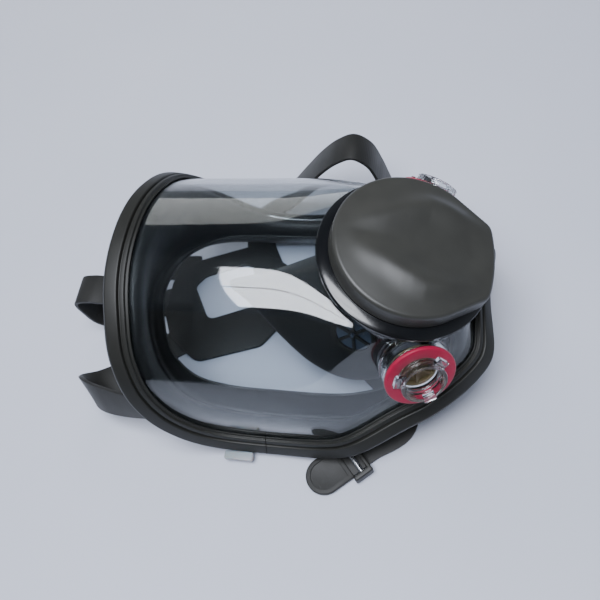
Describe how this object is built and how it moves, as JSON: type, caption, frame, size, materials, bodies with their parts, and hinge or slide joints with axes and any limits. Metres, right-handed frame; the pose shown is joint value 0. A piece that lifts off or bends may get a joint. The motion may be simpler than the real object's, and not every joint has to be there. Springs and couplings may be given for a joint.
{
  "type": "full-face respirator mask",
  "caption": "Full-face respirator: clear wrap-round visor in a dark clamp frame, covered exhalation unit at the chin, bayonet filter port on each cheek and a rubber head harness.",
  "frame": {"origin": "centre of the underside of the whole, on the table it lies on", "axes": "+Z out of the front of the visor (up as it lies), +Y towards the forehead, +X towards the left of the person wearing it"},
  "size_m": [0.2158, 0.264, 0.1175],
  "materials": {
    "clear_polycarbonate": "polished clear polycarbonate",
    "frame_nylon": "fine satin moulded grain",
    "black_plastic": "glossy moulded",
    "black_silicone": "satin moulded silicone",
    "strap_rubber": "matte moulded rubber",
    "red_silicone": "satin crimson silicone",
    "valve_silicone": "translucent silicone",
    "steel": "zinc-bright steel"
  },
  "bodies": {
    "mask": {"adapter_body": "black_plastic", "adapter_seal_ring": "red_silicone", "adapter_lock_ring": "black_plastic", "exhale_valve_seat": "black_plastic", "visor": "clear_polycarbonate", "frame_lower": "frame_nylon", "frame_upper": "frame_nylon", "face_seal": "black_silicone", "nose_cup": "black_silicone", "head_harness": "strap_rubber", "strap_forehead": "strap_rubber", "strap_temple_left": "strap_rubber", "strap_temple_right": "strap_rubber", "strap_cheek_left": "strap_rubber", "strap_cheek_right": "strap_rubber", "frame_tab_right": "clear_polycarbonate", "strap_clip_forehead": "frame_nylon", "strap_clip_temple_left": "frame_nylon", "strap_clip_temple_right": "frame_nylon", "port_connector_left": "clear_polycarbonate", "port_gasket_left": "red_silicone", "port_lock_ring_left": "clear_polycarbonate", "inhale_valve_seat_left": "black_plastic", "clamp_screw_left": "steel", "clamp_nut_left": "steel", "cup_valve_seat_left": "black_plastic", "buckle_frame_left": "frame_nylon", "port_connector_right": "clear_polycarbonate", "port_gasket_right": "red_silicone", "port_lock_ring_right": "clear_polycarbonate", "inhale_valve_seat_right": "black_plastic", "clamp_screw_right": "steel", "clamp_nut_right": "steel", "cup_valve_seat_right": "black_plastic", "buckle_frame_right": "frame_nylon"},
    "cover": {"exhale_cover": "frame_nylon"},
    "exhale_flap": {"exhale_valve_flap": "valve_silicone"},
    "inhale_flap_left": {"inhale_valve_flap_left": "valve_silicone"},
    "cup_flap_left": {"cup_valve_flap_left": "valve_silicone"},
    "buckle_roller_left": {"buckle_bar_left": "steel"},
    "inhale_flap_right": {"inhale_valve_flap_right": "valve_silicone"},
    "cup_flap_right": {"cup_valve_flap_right": "valve_silicone"},
    "buckle_roller_right": {"buckle_bar_right": "steel"}
  },
  "joints": [
    {"name": "cover_pull_off", "type": "slide", "parent": "mask", "child": "cover", "axis": [0, -0.3551, 0.9348], "range_m": [0, 0.025]},
    {"name": "exhale_flap_lift", "type": "slide", "parent": "mask", "child": "exhale_flap", "axis": [0, -0.3551, 0.9348], "range_m": [0, 0.0015], "stiffness_N_per_m": 150},
    {"name": "inhale_flap_left_open", "type": "slide", "parent": "mask", "child": "inhale_flap_left", "axis": [-0.8419, 0.4099, -0.351], "range_m": [0, 0.0015], "stiffness_N_per_m": 150},
    {"name": "cup_flap_left_open", "type": "slide", "parent": "mask", "child": "cup_flap_left", "axis": [-0.8521, -0.1504, -0.5013], "range_m": [0, 0.0012], "stiffness_N_per_m": 150},
    {"name": "buckle_roller_left_turn", "type": "hinge", "parent": "mask", "child": "buckle_roller_left", "pos_m": [0.08814, -0.07616, 0.0043], "axis": [0.6222, -0.7828, 0], "continuous": true},
    {"name": "inhale_flap_right_open", "type": "slide", "parent": "mask", "child": "inhale_flap_right", "axis": [0.8419, 0.4099, -0.351], "range_m": [0, 0.0015], "stiffness_N_per_m": 150},
    {"name": "cup_flap_right_open", "type": "slide", "parent": "mask", "child": "cup_flap_right", "axis": [0.8521, -0.1504, -0.5013], "range_m": [0, 0.0012], "stiffness_N_per_m": 150},
    {"name": "buckle_roller_right_turn", "type": "hinge", "parent": "mask", "child": "buckle_roller_right", "pos_m": [-0.08436, -0.05466, 0.0043], "axis": [0.7507, 0.6606, 0], "continuous": true}
  ]
}
